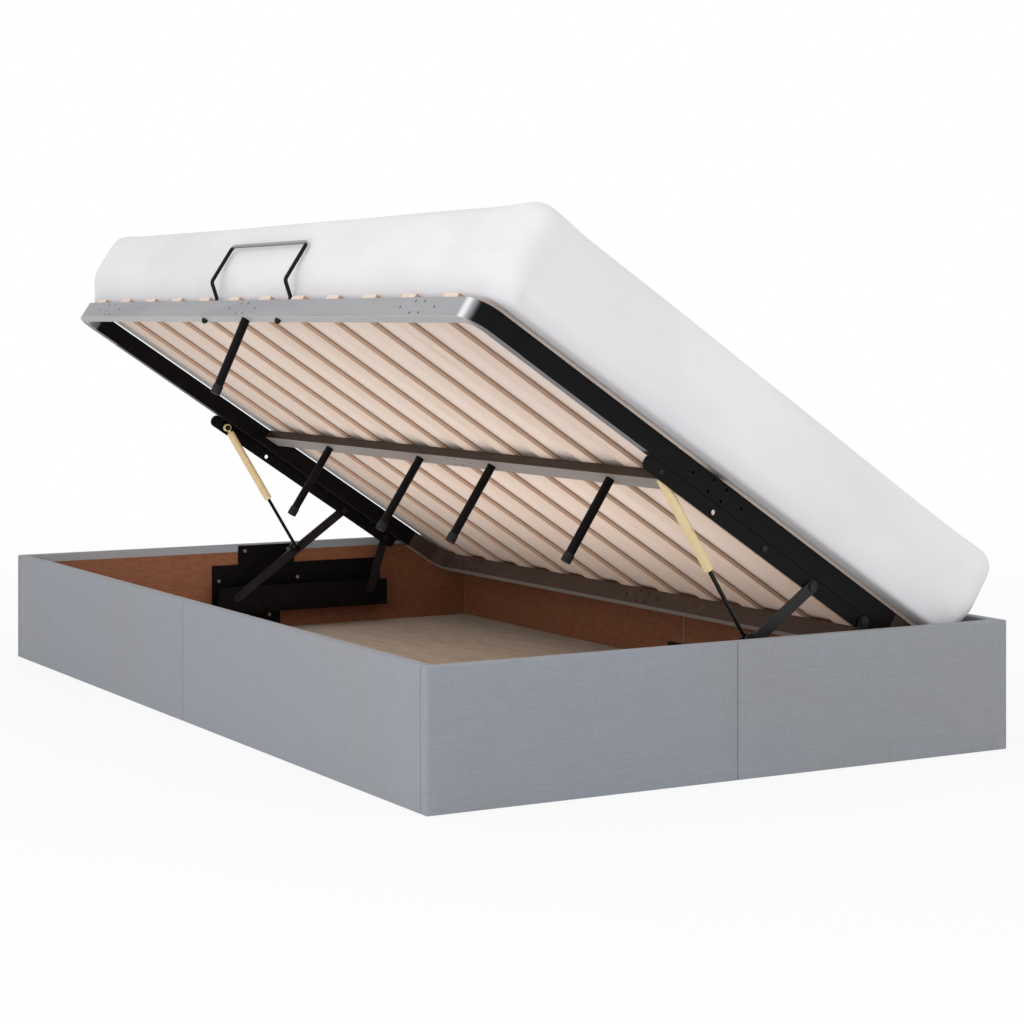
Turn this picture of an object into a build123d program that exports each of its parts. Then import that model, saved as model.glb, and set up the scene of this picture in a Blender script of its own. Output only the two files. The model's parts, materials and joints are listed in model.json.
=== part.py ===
from build123d import *
import math
import os

# Side-lift storage bed with an upholstered box, a lifting slatted frame and a foam mattress.
# Origin at the middle of the box's underside, +Z up, X across the bed, Y along it.
# The free long side is at -X, the hinge side at +X, and the lid is drawn raised.

# Lifting frame of bent rectangular tube
frame_width = 1180.0
frame_length = 1890.0
tube_height = 40.0
tube_width = 20.0
tube_wall = 1.5
bend_radius = 50.0
bend_reach = 120.0
bar_width = 40.0
bar_height = 20.0
hole_radius = 2.8
hole_spread = 62.0
hole_pair = 16.5
hole_row = 12.0
pattern_offset = 744.0

# Mattress
mattress_overhang = 44.0
mattress_front_overhang = 15.0
mattress_hinge_overhang = 18.0
mattress_wall = 188.0
mattress_crown = 4.0
mattress_corner = 45.0
mattress_top_round = 42.0
mattress_foot_draw = 38.0
mattress_hinge_foot_draw = 19.0
mattress_foot_rise = 58.0
mattress_foot_round = 6.0
mattress_draw = 4.0
mattress_round_steps = 5
mattress_crown_share = 0.8
mattress_width = frame_width + mattress_front_overhang + mattress_hinge_overhang
mattress_middle = (frame_width + mattress_hinge_overhang - mattress_front_overhang) / 2
mattress_length = frame_length + 2 * mattress_overhang

# Upholstered box
box_height = 240.0
wall = 22.0
cover_wall = 2.0
cover_edge_radius = 1.8
lid_side_gap = 3.0
mattress_end_gap = 4.0
fold_depth = 18.0
fold_wall = 1.0
seam_gap = 1.0
box_length = mattress_length + 2 * (mattress_end_gap + wall)
box_width = frame_width + 2 * (lid_side_gap + wall)

# Storage floor
floor_wall = 9.5
floor_gap = 0.3
batten_height = 20.0
batten_width = 45.0
batten_count = 6
board_seam = 2.0

# Corner brackets and joining plates of the box
bracket_leg = 30.0
bracket_wall = 3.0
bracket_height = 46.0
bracket_drop = 8.0
bracket_radius = 4.0
plate_length = 120.0
plate_height = 40.0
plate_wall = 2.0
plate_rise = 52.0
plate_corner = 8.0
screw_head_radius = 4.5
screw_head_height = 1.8
screw_radius = 2.0
screw_length = 14.0

# Slats
slat_count = 12
slat_width = 54.0
slat_wall = 10.0
slat_margin = 109.0
slat_pitch = (frame_length - 2 * slat_margin) / (slat_count - 1)
slat_inset = 2.0
slat_edge = 2.5

# Support legs under the frame
leg_radius = 9.0
leg_wall = 1.2
leg_inner_place = 155.0
leg_outer_place = 600.0
front_leg_place = -25.0
front_leg_tilt = 9.0
leg_clearance = 0.5
cap_wall = 1.4
cap_height = 18.0
cap_lip = 3.0

# Mattress retainer, a bent rod
rod_radius = 4.0
retainer_place = 180.0
retainer_reach = 21.0
retainer_seat = 10.0
retainer_kink = 33.0
retainer_height = 122.0
retainer_tail = 9.0
retainer_bend = 12.0
nut_radius = 7.0
nut_wall = 6.0

# Lid positions, raised and closed: its hinge edge moves in from the closed place and down
open_tilt = 33.3
hinge_edge_shift = 79.75
hinge_edge_height = 190.15
closed_height = 232.0

# Lift mechanism, measured on the lid from its hinge edge and down from the rail's top
link_pin_back = 318.0
link_pin_drop = 57.0
rear_pin_back = 180.0
rear_pin_drop = 52.0
strut_pin_back = 708.0
strut_pin_drop = 54.0
stop_bolt_back = 445.0
stop_bolt_drop = 53.0
spare_hole_back = 575.0
spare_hole_drop = 56.0
spare_hole_radius = 5.0
front_link_length = 353.0
rear_link_length = 133.0
link_half_width = 11.0
link_wall = 4.0
foot_along = 192.0
foot_across = 8.0
foot_stud_radius = 4.0
pin_radius = 5.0
pin_head_radius = 8.0
pin_head_wall = 2.5
running_clearance = 0.05
side_clearance = 0.3

# Steel angle on the lid and plates on the box ends
angle_front_back = 750.0
angle_rear_back = 150.0
angle_drop = 68.0
angle_wall = 3.0
angle_shelf_wall = 2.5
angle_inset = 1.5
angle_nose = 12.0
angle_nose_share = 0.45
angle_bolt_radius = 4.5
angle_bolt_head = 3.0
angle_bolt_backs = (728.0, 460.0, 390.0, 240.0)
hinge_plate_wall = 2.5
hinge_plate_front_back = 740.0
hinge_plate_rear_back = 275.0
hinge_plate_top = 190.0
hinge_tab_front_back = 670.0
hinge_tab_rear_back = 516.0
hinge_tab_top = 237.0
tab_clearance = 0.2
carrier_wall = 3.0
carrier_bottom = 75.0
carrier_top = 140.0

# Gas struts
cylinder_radius = 9.0
cylinder_bore = 7.0
cylinder_reach = 208.0
cylinder_start = 14.0
bore_start = 30.0
gland_length = 6.0
neck_radius = 3.5
eye_radius = 9.0
eye_wall = 8.0
strut_rod_radius = 4.0
piston_length = 10.0
piston_place = 188.0
piston_clearance = 0.05
strut_gap = 1.5
collar_radius = 6.5
clip_radius = 6.5
clip_wall = 1.5

# Derived planes across the bed, on one side, counted from the middle
half_length = box_length / 2
half_width = box_width / 2
wall_inner = half_length - wall
rail_outer = frame_length / 2
rail_inner = rail_outer - tube_width
angle_outer = rail_outer - angle_inset
angle_inner = angle_outer - angle_wall
link_inner = rail_outer + side_clearance
spacer_outer = link_inner - side_clearance
link_outer = link_inner + link_wall
carrier_inner = link_outer + side_clearance
carrier_outer = carrier_inner + carrier_wall
strut_plane = angle_inner - strut_gap - cylinder_radius
eye_outer = strut_plane + eye_wall / 2
eye_inner = strut_plane - eye_wall / 2
floor_top = batten_height + floor_wall
leg_foot = closed_height - floor_top - leg_clearance
closed_front = -frame_width / 2
link_pin_place = frame_width - link_pin_back
rear_pin_place = frame_width - rear_pin_back
strut_pin_place = frame_width - strut_pin_back
stop_bolt_place = frame_width - stop_bolt_back
spare_hole_place = frame_width - spare_hole_back
angle_start = frame_width - angle_front_back
angle_end = frame_width - angle_rear_back
hinge_plate_front = half_width - hinge_plate_front_back
hinge_plate_rear = half_width - hinge_plate_rear_back
hinge_tab_front = half_width - hinge_tab_front_back
hinge_tab_rear = half_width - hinge_tab_rear_back
lean = math.radians(open_tilt)
open_front = frame_width / 2 - hinge_edge_shift - frame_width * math.cos(lean)
open_height = hinge_edge_height + frame_width * math.sin(lean)
pin_hole = pin_radius + running_clearance

NEAR = -1
FAR = 1


def block(x_range, y_range, z_range):
    """Box between two corners, given as three pairs."""
    x0, x1 = sorted(x_range)
    y0, y1 = sorted(y_range)
    z0, z1 = sorted(z_range)
    middle = Pos((x0 + x1) / 2, (y0 + y1) / 2, (z0 + z1) / 2)
    return middle * Box(x1 - x0, y1 - y0, z1 - z0)


def upright(sketch, y0, y1):
    """Plate whose outline lies in the XZ plane, from y0 to y1."""
    low, high = sorted((y0, y1))
    return Pos(0, high, 0) * Rot(90, 0, 0) * extrude(sketch, high - low)


def cross_pin(x, z, y0, y1, radius):
    """Round bar along Y."""
    return Pos(x, (y0 + y1) / 2, z) * Rot(90, 0, 0) * Cylinder(radius, abs(y1 - y0))


def long_pin(y, z, x0, x1, radius):
    """Round bar along X."""
    return Pos((x0 + x1) / 2, y, z) * Rot(0, 90, 0) * Cylinder(radius, abs(x1 - x0))


def post(x, y, z0, z1, radius):
    """Round bar along Z."""
    return Pos(x, y, (z0 + z1) / 2) * Cylinder(radius, abs(z1 - z0))


def group(solids):
    """Several separate solids kept together in one node."""
    return Compound(children=[item for solid in solids for item in solid.solids()])


# Linkage: where each pivot lies with the lid raised and with it closed


def lid_point(place, drop, front, height, tilt):
    """World X and Z of a point on the lid."""
    angle = math.radians(tilt)
    x = front + place * math.cos(angle) - drop * math.sin(angle)
    z = height - place * math.sin(angle) - drop * math.cos(angle)
    return x, z


def raised(place, drop):
    return lid_point(place, drop, open_front, open_height, open_tilt)


def closed(place, drop):
    return lid_point(place, drop, closed_front, closed_height, 0)


def base_pivot(place, drop, length):
    """Fixed pivot of a link that reaches the lid's pin both raised and closed."""
    x0, z0 = raised(place, drop)
    x1, z1 = closed(place, drop)
    span = math.hypot(x1 - x0, z1 - z0)
    rise = math.sqrt(length**2 - span**2 / 4)
    x = (x0 + x1) / 2 + rise * (z1 - z0) / span
    z = (z0 + z1) / 2 - rise * (x1 - x0) / span
    return x, z


def heading(start, end):
    """Angle in degrees from +X towards +Z."""
    return math.degrees(math.atan2(end[1] - start[1], end[0] - start[0]))


def along(start, angle, distance, across):
    """Point at a distance along a heading and across it."""
    turn = math.radians(angle)
    x = start[0] + distance * math.cos(turn) - across * math.sin(turn)
    z = start[1] + distance * math.sin(turn) + across * math.cos(turn)
    return x, z


link_base = base_pivot(link_pin_place, link_pin_drop, front_link_length)
rear_base = base_pivot(rear_pin_place, rear_pin_drop, rear_link_length)
link_open = heading(link_base, raised(link_pin_place, link_pin_drop))
link_closed = heading(link_base, closed(link_pin_place, link_pin_drop))
rear_open = heading(rear_base, raised(rear_pin_place, rear_pin_drop))
rear_closed = heading(rear_base, closed(rear_pin_place, rear_pin_drop))
strut_top_open = raised(strut_pin_place, strut_pin_drop)
strut_top_closed = closed(strut_pin_place, strut_pin_drop)
foot_open = along(link_base, link_open, foot_along, foot_across)
foot_closed = along(link_base, link_closed, foot_along, foot_across)
strut_open = heading(strut_top_open, foot_open)
strut_closed = heading(strut_top_closed, foot_closed)
strut_length = math.dist(strut_top_open, foot_open)
strut_stroke = strut_length - math.dist(strut_top_closed, foot_closed)

lid_place = Pos(open_front, 0, open_height) * Rot(0, open_tilt, 0)


# Box panels, each drawn flat with X along it, Y into the box and Z up


def bracket_heights():
    """Heights of a corner bracket's screws."""
    middle = box_height - bracket_drop - bracket_height / 2
    return (middle - bracket_height / 6, middle + bracket_height / 6)


def plate_heights():
    """Heights of a joining plate's screws."""
    return (plate_rise - plate_height / 4, plate_rise + plate_height / 4)


def panel_screw_spots(length, at_corner):
    """Screw places on a panel's inner face, as distances along it and heights."""
    at_seam = length + seam_gap / 2 - plate_length / 4
    spots = [(at_corner, height) for height in bracket_heights()]
    return spots + [(at_seam, height) for height in plate_heights()]


def panel_board(length, holes):
    """Board of one half panel, with pilot holes for its screws."""
    board = block(
        (cover_wall, length - cover_wall), (cover_wall, wall), (0, box_height - cover_wall)
    )
    for x, z in holes:
        board -= cross_pin(x, z, wall - screw_length, wall, screw_radius)
    return board


def panel_cover(length, fold_start):
    """Fabric cover round the outside, the ends and the top, folded over inside."""
    shell = block((0, length), (0, wall), (0, box_height))
    edges = shell.edges().filter_by(Axis.Z).sort_by(Axis.Y)[:2]
    edges += shell.edges().filter_by(Axis.X).sort_by(Axis.Z)[-2:].sort_by(Axis.Y)[:1]
    shell = fillet(edges, min(cover_edge_radius, cover_wall))
    shell -= block(
        (cover_wall, length - cover_wall), (cover_wall, wall), (0, box_height - cover_wall)
    )
    fold_top = box_height - cover_edge_radius / 2
    fold = block((fold_start, length), (wall, wall + fold_wall), (box_height - fold_depth, fold_top))
    return shell + fold


long_half = (box_length - 2 * wall - seam_gap) / 2
end_half = (box_width - seam_gap) / 2


def panel_places():
    """Name, half length, distance of the corner bracket's screws and place of each half panel."""
    long_corner = fold_wall + bracket_leg * 2 / 3
    end_corner = wall + fold_wall + bracket_leg * 2 / 3
    mirror_x = Rot(0, 0, 180)
    front = Pos(-half_width, 0, 0) * Rot(0, 0, -90)
    hinge = Pos(half_width, 0, 0) * Rot(0, 0, 90)
    near = Pos(0, -half_length, 0)
    far = Pos(0, half_length, 0) * mirror_x
    long_start = seam_gap / 2 + long_half
    end_start = seam_gap / 2 + end_half
    return [
        ("front_panel_far", long_half, long_corner, front * Pos(-long_start, 0, 0), False),
        ("front_panel_near", long_half, long_corner, front * Pos(long_start, 0, 0), True),
        ("hinge_side_panel_near", long_half, long_corner, hinge * Pos(-long_start, 0, 0), False),
        ("hinge_side_panel_far", long_half, long_corner, hinge * Pos(long_start, 0, 0), True),
        ("end_panel_near_front", end_half, end_corner, near * Pos(-end_start, 0, 0), False),
        ("end_panel_near_hinge", end_half, end_corner, near * Pos(end_start, 0, 0), True),
        ("end_panel_far_hinge", end_half, end_corner, far * Pos(-end_start, 0, 0), False),
        ("end_panel_far_front", end_half, end_corner, far * Pos(end_start, 0, 0), True),
    ]


def turned(solid, flip):
    """Mirror a half panel about its corner end when it lies on the other side of the seam."""
    return mirror(solid, Plane.YZ) if flip else solid


def hinge_plate_screws():
    """Screw places of one hinge plate, in world X and Z."""
    low = carrier_bottom + (hinge_plate_top - carrier_bottom) * 2 / 3
    high = hinge_tab_top - 3 * screw_head_radius
    inset = 4 * screw_head_radius
    return [
        (hinge_plate_front + inset, low),
        (hinge_plate_rear - inset, low),
        ((hinge_plate_rear + hinge_plate_front) / 2, low),
        (hinge_tab_front + inset, high),
        (hinge_tab_rear - inset, high),
    ]


def tab_notch(side):
    """Room in the folded cover for a hinge plate's upper tab."""
    return block(
        (hinge_tab_front - tab_clearance, hinge_tab_rear + tab_clearance),
        (side * wall_inner, side * (wall_inner - 2 * fold_wall)),
        (box_height - 2 * fold_depth, hinge_tab_top + tab_clearance),
    )


def box_panels():
    """All boards and covers of the box."""
    parts = {}
    for name, length, corner, place, flip in panel_places():
        is_end = name.startswith("end")
        fold_start = wall + fold_wall if is_end else 0
        board = place * turned(panel_board(length, panel_screw_spots(length, corner)), flip)
        cover = place * turned(panel_cover(length, fold_start), flip)
        if is_end:
            side = NEAR if "near" in name else FAR
            for x, z in hinge_plate_screws():
                board -= cross_pin(
                    x, z, side * wall_inner, side * (wall_inner + screw_length), screw_radius
                )
            cover -= tab_notch(side)
        parts[name + "_board"] = board
        parts[name + "_cover"] = cover
    return parts


def screw(length):
    """Pan head screw along +Y into the board, its head's seat at the origin."""
    head = Pos(0, -screw_head_height / 2, 0) * Rot(90, 0, 0)
    head = head * Cylinder(screw_head_radius, screw_head_height)
    head = fillet(head.edges().sort_by(Axis.Y)[:1], screw_head_height / 2)
    return head + cross_pin(0, 0, 0, length, screw_radius)


def corner_bracket():
    """Pressed angle in a corner of the box, drawn for the corner at -X and -Y."""
    low = box_height - bracket_drop - bracket_height
    high = box_height - bracket_drop
    x0 = -half_width + wall + fold_wall
    y0 = -half_length + wall + fold_wall
    leg_a = block((x0, x0 + bracket_leg), (y0, y0 + bracket_wall), (low, high))
    leg_b = block((x0, x0 + bracket_wall), (y0, y0 + bracket_leg), (low, high))
    bracket = leg_a + leg_b
    far_edges = bracket.edges().filter_by(Axis.Y).sort_by(Axis.X)[-2:]
    bracket = fillet(far_edges, bracket_radius)
    for height in bracket_heights():
        bracket -= cross_pin(
            x0 + bracket_leg * 2 / 3, height, y0, y0 + bracket_wall, screw_radius
        )
        bracket -= long_pin(
            y0 + bracket_leg * 2 / 3, height, x0, x0 + bracket_wall, screw_radius
        )
    return bracket


def four_corners(solid):
    """Copies of a solid at the four corners of the box."""
    across = mirror(solid, Plane.YZ)
    return [solid, across, mirror(solid, Plane.XZ), mirror(across, Plane.XZ)]


def joining_plate():
    """Flat plate across the seam of two half panels, drawn on the near end wall."""
    face = RectangleRounded(plate_length, plate_height, plate_corner)
    face = Pos(0, plate_rise) * face
    plate = upright(face, -wall_inner, -wall_inner + plate_wall)
    for x in (-plate_length / 4, plate_length / 4):
        for z in plate_heights():
            plate -= cross_pin(x, z, -wall_inner, -wall_inner + plate_wall, screw_radius)
    return plate


def on_four_walls(solid):
    """Copies of a solid drawn on the near end wall, one for each wall."""
    shift = half_length - half_width
    side = Pos(0, shift, 0) * solid
    return [solid, Rot(0, 0, 180) * solid, Rot(0, 0, 90) * side, Rot(0, 0, -90) * side]


def box_screws():
    """Screws that hold the brackets, the joining plates and the hinge plates."""
    inward = Rot(0, 0, 180)
    solids = []
    reach = screw_length + bracket_wall + fold_wall
    stand = wall + fold_wall + bracket_wall
    place = wall + fold_wall + bracket_leg * 2 / 3
    for height in bracket_heights():
        on_end = Pos(-half_width + place, -half_length + stand, height)
        on_side = Pos(-half_width + stand, -half_length + place, height)
        solids += four_corners(on_end * inward * screw(reach))
        solids += four_corners(on_side * Rot(0, 0, 90) * screw(reach))
    for x in (-plate_length / 4, plate_length / 4):
        for z in plate_heights():
            piece = inward * screw(screw_length + plate_wall)
            solids += on_four_walls(Pos(x, -wall_inner + plate_wall, z) * piece)
    for x, z in hinge_plate_screws():
        y = -wall_inner + hinge_plate_wall
        piece = Pos(x, y, z) * inward * screw(screw_length + hinge_plate_wall)
        solids += [piece, mirror(piece, Plane.XZ)]
    return group(solids)


def floor_board(side):
    """One of the two boards of the storage floor."""
    x = half_width - wall - floor_gap
    return block(
        (-x, x), (side * board_seam / 2, side * (wall_inner - floor_gap)), (batten_height, floor_top)
    )


def floor_battens():
    """Battens that carry the storage floor."""
    x = half_width - wall - floor_gap
    reach = wall_inner - floor_gap - batten_width / 2
    step = 2 * reach / (batten_count - 1)
    solids = []
    for index in range(batten_count):
        y = -reach + index * step
        solids.append(
            block((-x, x), (y - batten_width / 2, y + batten_width / 2), (0, batten_height))
        )
    return group(solids)


# Lift mechanism


def hinge_plate(side):
    """Plate on an end wall, with a shelf and an upright that carry both links."""
    outline = Polyline(
        (hinge_plate_front, carrier_bottom),
        (hinge_plate_rear, carrier_bottom),
        (hinge_plate_rear, hinge_plate_top),
        (hinge_tab_rear, hinge_plate_top),
        (hinge_tab_rear, hinge_tab_top),
        (hinge_tab_front, hinge_tab_top),
        (hinge_tab_front, hinge_plate_top),
        (hinge_plate_front, hinge_plate_top),
        close=True,
    )
    y_wall = (side * wall_inner, side * (wall_inner - hinge_plate_wall))
    plate = upright(make_face(outline), *y_wall)
    for x, z in hinge_plate_screws():
        plate -= cross_pin(x, z, *y_wall, screw_radius)
    x_range = (hinge_plate_front, hinge_plate_rear)
    shelf_top = carrier_bottom + carrier_wall
    plate += block(x_range, (y_wall[1], side * carrier_inner), (carrier_bottom, shelf_top))
    carrier = block(
        x_range, (side * carrier_inner, side * carrier_outer), (carrier_bottom, carrier_top)
    )
    ends = carrier.edges().filter_by(Axis.Y).sort_by(Axis.Z)[-2:]
    carrier = fillet(ends, 2 * carrier_wall)
    for x, z in (link_base, rear_base):
        carrier -= cross_pin(x, z, side * carrier_inner, side * carrier_outer, pin_radius)
    return plate + carrier


def base_pins():
    """Fixed pins of the four links, headed on both sides."""
    solids = []
    for side in (NEAR, FAR):
        for x, z in (link_base, rear_base):
            head_start = carrier_outer
            clip_start = spacer_outer
            pin = cross_pin(x, z, side * clip_start, side * head_start, pin_radius)
            pin += cross_pin(
                x, z, side * head_start, side * (head_start + pin_head_wall), pin_head_radius
            )
            pin += cross_pin(
                x, z, side * clip_start, side * (clip_start - pin_head_wall), pin_head_radius
            )
            solids.append(pin)
    return group(solids)


def link_face(length):
    """Flat bar with round ends, drawn from its base pivot along +X."""
    return Pos(length / 2, 0) * SlotCenterToCenter(length, 2 * link_half_width)


def front_link(side):
    """Long link from the box to the lid, with the stud for the strut's foot."""
    face = link_face(front_link_length)
    face += Pos(foot_along, foot_across) * Circle(link_half_width)
    face -= Circle(pin_hole)
    face -= Pos(front_link_length, 0) * Circle(pin_hole)
    link = upright(face, side * link_inner, side * link_outer)
    stud_end = eye_outer + side_clearance
    link += cross_pin(
        foot_along, foot_across, side * stud_end, side * link_inner, foot_stud_radius
    )
    link += cross_pin(
        foot_along,
        foot_across,
        side * link_outer,
        side * (link_outer - link_wall),
        foot_stud_radius,
    )
    return Pos(link_base[0], 0, link_base[1]) * Rot(0, -link_open, 0) * link


def rear_link(side):
    """Short link behind the front link, with its half of the open upper pivot."""
    face = link_face(rear_link_length) - Circle(pin_hole)
    link = upright(face, side * link_inner, side * link_outer)
    link += cross_pin(
        rear_link_length,
        0,
        side * link_outer,
        side * (link_outer + pin_head_wall),
        pin_head_radius,
    )
    return Pos(rear_base[0], 0, rear_base[1]) * Rot(0, -rear_open, 0) * link


def strut_place(side):
    x, z = strut_top_open
    return Pos(x, side * strut_plane, z) * Rot(0, -strut_open, 0)


def eye(hole):
    """Eye of a strut end, its hole along Y."""
    ring = cross_pin(0, 0, -eye_wall / 2, eye_wall / 2, eye_radius)
    return ring - cross_pin(0, 0, -eye_wall / 2, eye_wall / 2, hole)


def strut_cylinder(side):
    """Pressure tube of a gas strut, hung from the lid."""
    body = long_pin(0, 0, cylinder_start, cylinder_reach, cylinder_radius)
    body = fillet(body.edges().sort_by(Axis.X)[:1], cylinder_radius / 3)
    neck = long_pin(0, 0, eye_radius / 2, cylinder_start, neck_radius)
    body += neck
    body -= long_pin(0, 0, bore_start, cylinder_reach - gland_length, cylinder_bore)
    rod_hole = strut_rod_radius + running_clearance
    body -= long_pin(0, 0, cylinder_reach - gland_length, cylinder_reach, rod_hole)
    body += eye(foot_stud_radius + running_clearance)
    return strut_place(side) * body


def strut_rod(side):
    """Piston rod of a gas strut, with the eye at its foot."""
    piston_end = piston_place + piston_length
    rod = long_pin(0, 0, piston_end, strut_length - eye_radius / 2, strut_rod_radius)
    foot = Pos(strut_length, 0, 0)
    rod += long_pin(0, 0, piston_place, piston_end, cylinder_bore - piston_clearance)
    rod += foot * eye(foot_stud_radius + running_clearance)
    return strut_place(side) * rod


# Lid, drawn flat with X from its front edge, Z up from the rail's top, then tilted


def frame_tube():
    """Whole perimeter tube with bent corners."""

    def ring(outer_inset, inner_inset, height):
        outer = RectangleRounded(
            frame_width - 2 * outer_inset, frame_length - 2 * outer_inset, bend_radius - outer_inset
        )
        inner = RectangleRounded(
            frame_width - 2 * inner_inset, frame_length - 2 * inner_inset, bend_radius - inner_inset
        )
        return extrude(outer - inner, height)

    tube = ring(0, tube_width, tube_height)
    tube -= Pos(0, 0, tube_wall) * ring(
        tube_wall, tube_width - tube_wall, tube_height - 2 * tube_wall
    )
    return Pos(frame_width / 2, 0, -tube_height) * tube


def six_holes():
    """Places of six fixing holes about a pattern's middle."""
    return [
        (-hole_spread, 0),
        (hole_spread, 0),
        (-hole_pair, hole_row),
        (hole_pair, hole_row),
        (-hole_pair, -hole_row),
        (hole_pair, -hole_row),
    ]


def frame_parts():
    """Front and rear rails with bent ends, side rails and middle bar."""
    tube = frame_tube()
    y_all = (-frame_length, frame_length)
    z_all = (-2 * tube_height, tube_height)
    front = tube & block((-bend_reach, bend_reach), y_all, z_all)
    rear = tube & block((frame_width - bend_reach, frame_width + bend_reach), y_all, z_all)
    middle = (bend_reach, frame_width - bend_reach)
    sides = {
        NEAR: tube & block(middle, (-frame_length, 0), z_all),
        FAR: tube & block(middle, (0, frame_length), z_all),
    }
    mid_height = -tube_height / 2
    for offset in (-pattern_offset, 0, pattern_offset):
        for dy, dz in six_holes():
            y, z = offset + dy, mid_height + dz
            front -= long_pin(y, z, -tube_width, 2 * tube_width, hole_radius)
            rear -= long_pin(
                y, z, frame_width - 2 * tube_width, frame_width + tube_width, hole_radius
            )
    for side in (NEAR, FAR):
        for dx, dz in six_holes():
            x, z = frame_width / 2 + dx, mid_height + dz
            sides[side] -= cross_pin(
                x, z, side * (rail_outer + tube_width), side * (rail_outer - tube_wall), hole_radius
            )
        front -= post(
            retainer_seat,
            side * retainer_place,
            -2 * tube_height,
            tube_height,
            rod_radius + running_clearance,
        )
    return {
        "front_rail": front,
        "rear_rail": rear,
        "side_rail_near": sides[NEAR],
        "side_rail_far": sides[FAR],
        "middle_bar": middle_bar(),
    }


def middle_bar():
    """Flat tube between the side rails, under the slats."""
    x0, x1 = frame_width / 2 - bar_width / 2, frame_width / 2 + bar_width / 2
    bar = block((x0, x1), (-rail_inner, rail_inner), (-bar_height, 0))
    bar -= block(
        (x0 + tube_wall, x1 - tube_wall),
        (-rail_inner, rail_inner),
        (-bar_height + tube_wall, -tube_wall),
    )
    for dy, dx in six_holes():
        bar -= post(frame_width / 2 + dx, dy, -2 * bar_height, -bar_height / 2, hole_radius)
    return bar


def slat(index):
    """One of the wooden slats that run from the front rail to the rear rail."""
    y = (index - (slat_count - 1) / 2) * slat_pitch
    piece = block(
        (slat_inset, frame_width - slat_inset), (y - slat_width / 2, y + slat_width / 2), (0, slat_wall)
    )
    return fillet(piece.edges().filter_by(Axis.X), min(slat_edge, slat_wall / 3))


def leg_reach(top, tilt):
    """Length of a leg with its cap, from its top to its foot."""
    turn = math.radians(tilt)
    return (leg_foot + top - (leg_radius + cap_wall) * math.sin(turn)) / math.cos(turn)


def leg(x, y, top, tilt):
    """Round tube leg below the lid, its foot leaning in by a tilt."""
    bottom = cap_lip - leg_reach(top, tilt)
    tube = post(0, 0, bottom, leg_radius, leg_radius)
    tube -= post(0, 0, bottom, leg_radius, leg_radius - leg_wall)
    tube = Pos(x, y, top) * Rot(0, -tilt, 0) * tube
    room = 2 * leg_radius
    return tube - block((x - room, x + room), (y - room, y + room), (top, top + room))


def leg_cap(x, y, top, tilt):
    """Plastic cup on a leg's end."""
    bottom = -leg_reach(top, tilt)
    cap = post(0, 0, bottom, bottom + cap_height, leg_radius + cap_wall)
    cap = fillet(cap.edges().sort_by(Axis.Z)[:1], cap_wall)
    cap -= post(0, 0, bottom + cap_lip, bottom + cap_height, leg_radius)
    return Pos(x, y, top) * Rot(0, -tilt, 0) * cap


def leg_places():
    """Place of each leg: from the front, along the bed, height of its top and its tilt."""
    places = [(tube_width / 2, front_leg_place, -tube_height, front_leg_tilt)]
    for y in (-leg_outer_place, -leg_inner_place, leg_inner_place, leg_outer_place):
        places.append((frame_width / 2, y, -bar_height, 0))
    return places


def retainer_bar():
    """Bent rod in front of the mattress."""
    seat = retainer_seat
    tail = -tube_height - retainer_tail
    kneel = retainer_kink - retainer_seat - retainer_reach + 4 * rod_radius
    points = [
        (seat, -retainer_place, tail),
        (seat, -retainer_place, kneel / 2),
        (-retainer_reach, -retainer_place, retainer_kink),
        (-retainer_reach, -retainer_place, retainer_height),
        (-retainer_reach, retainer_place, retainer_height),
        (-retainer_reach, retainer_place, retainer_kink),
        (seat, retainer_place, kneel / 2),
        (seat, retainer_place, tail),
    ]
    path = FilletPolyline(*points, radius=retainer_bend)
    section = Plane(origin=path @ 0, z_dir=path % 0) * Circle(rod_radius)
    return sweep(section, path)


def retainer_nuts():
    """Nuts on the retainer's threaded ends, under the front rail."""
    solids = []
    for side in (NEAR, FAR):
        face = RegularPolygon(nut_radius, 6) - Circle(rod_radius)
        place = Pos(retainer_seat, side * retainer_place, -tube_height - nut_wall)
        solids.append(place * extrude(face, nut_wall))
    return group(solids)


def lid_angle(side):
    """Steel angle under a side rail, which carries the links' and strut's pins."""
    shelf = block(
        (angle_start + angle_nose, angle_end),
        (side * rail_inner, side * angle_outer),
        (-tube_height, -tube_height - angle_shelf_wall),
    )
    drop = angle_drop - tube_height
    face = Pos((angle_start + angle_end) / 2, -tube_height - drop / 2)
    face = face * RectangleRounded(angle_end - angle_start, drop, min(angle_nose, angle_nose_share * drop))
    upper = Pos((angle_start + angle_nose + angle_end) / 2, -tube_height - drop / 4)
    face += upper * Rectangle(angle_end - angle_start - angle_nose, drop / 2)
    for place, fall in (
        (link_pin_place, link_pin_drop),
        (rear_pin_place, rear_pin_drop),
    ):
        face -= Pos(place, -fall) * Circle(pin_radius)
    face -= Pos(strut_pin_place, -strut_pin_drop) * Circle(foot_stud_radius)
    face -= Pos(stop_bolt_place, -stop_bolt_drop) * Circle(angle_bolt_radius)
    face -= Pos(spare_hole_place, -spare_hole_drop) * Circle(spare_hole_radius)
    return shelf + upright(face, side * angle_inner, side * angle_outer)


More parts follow.
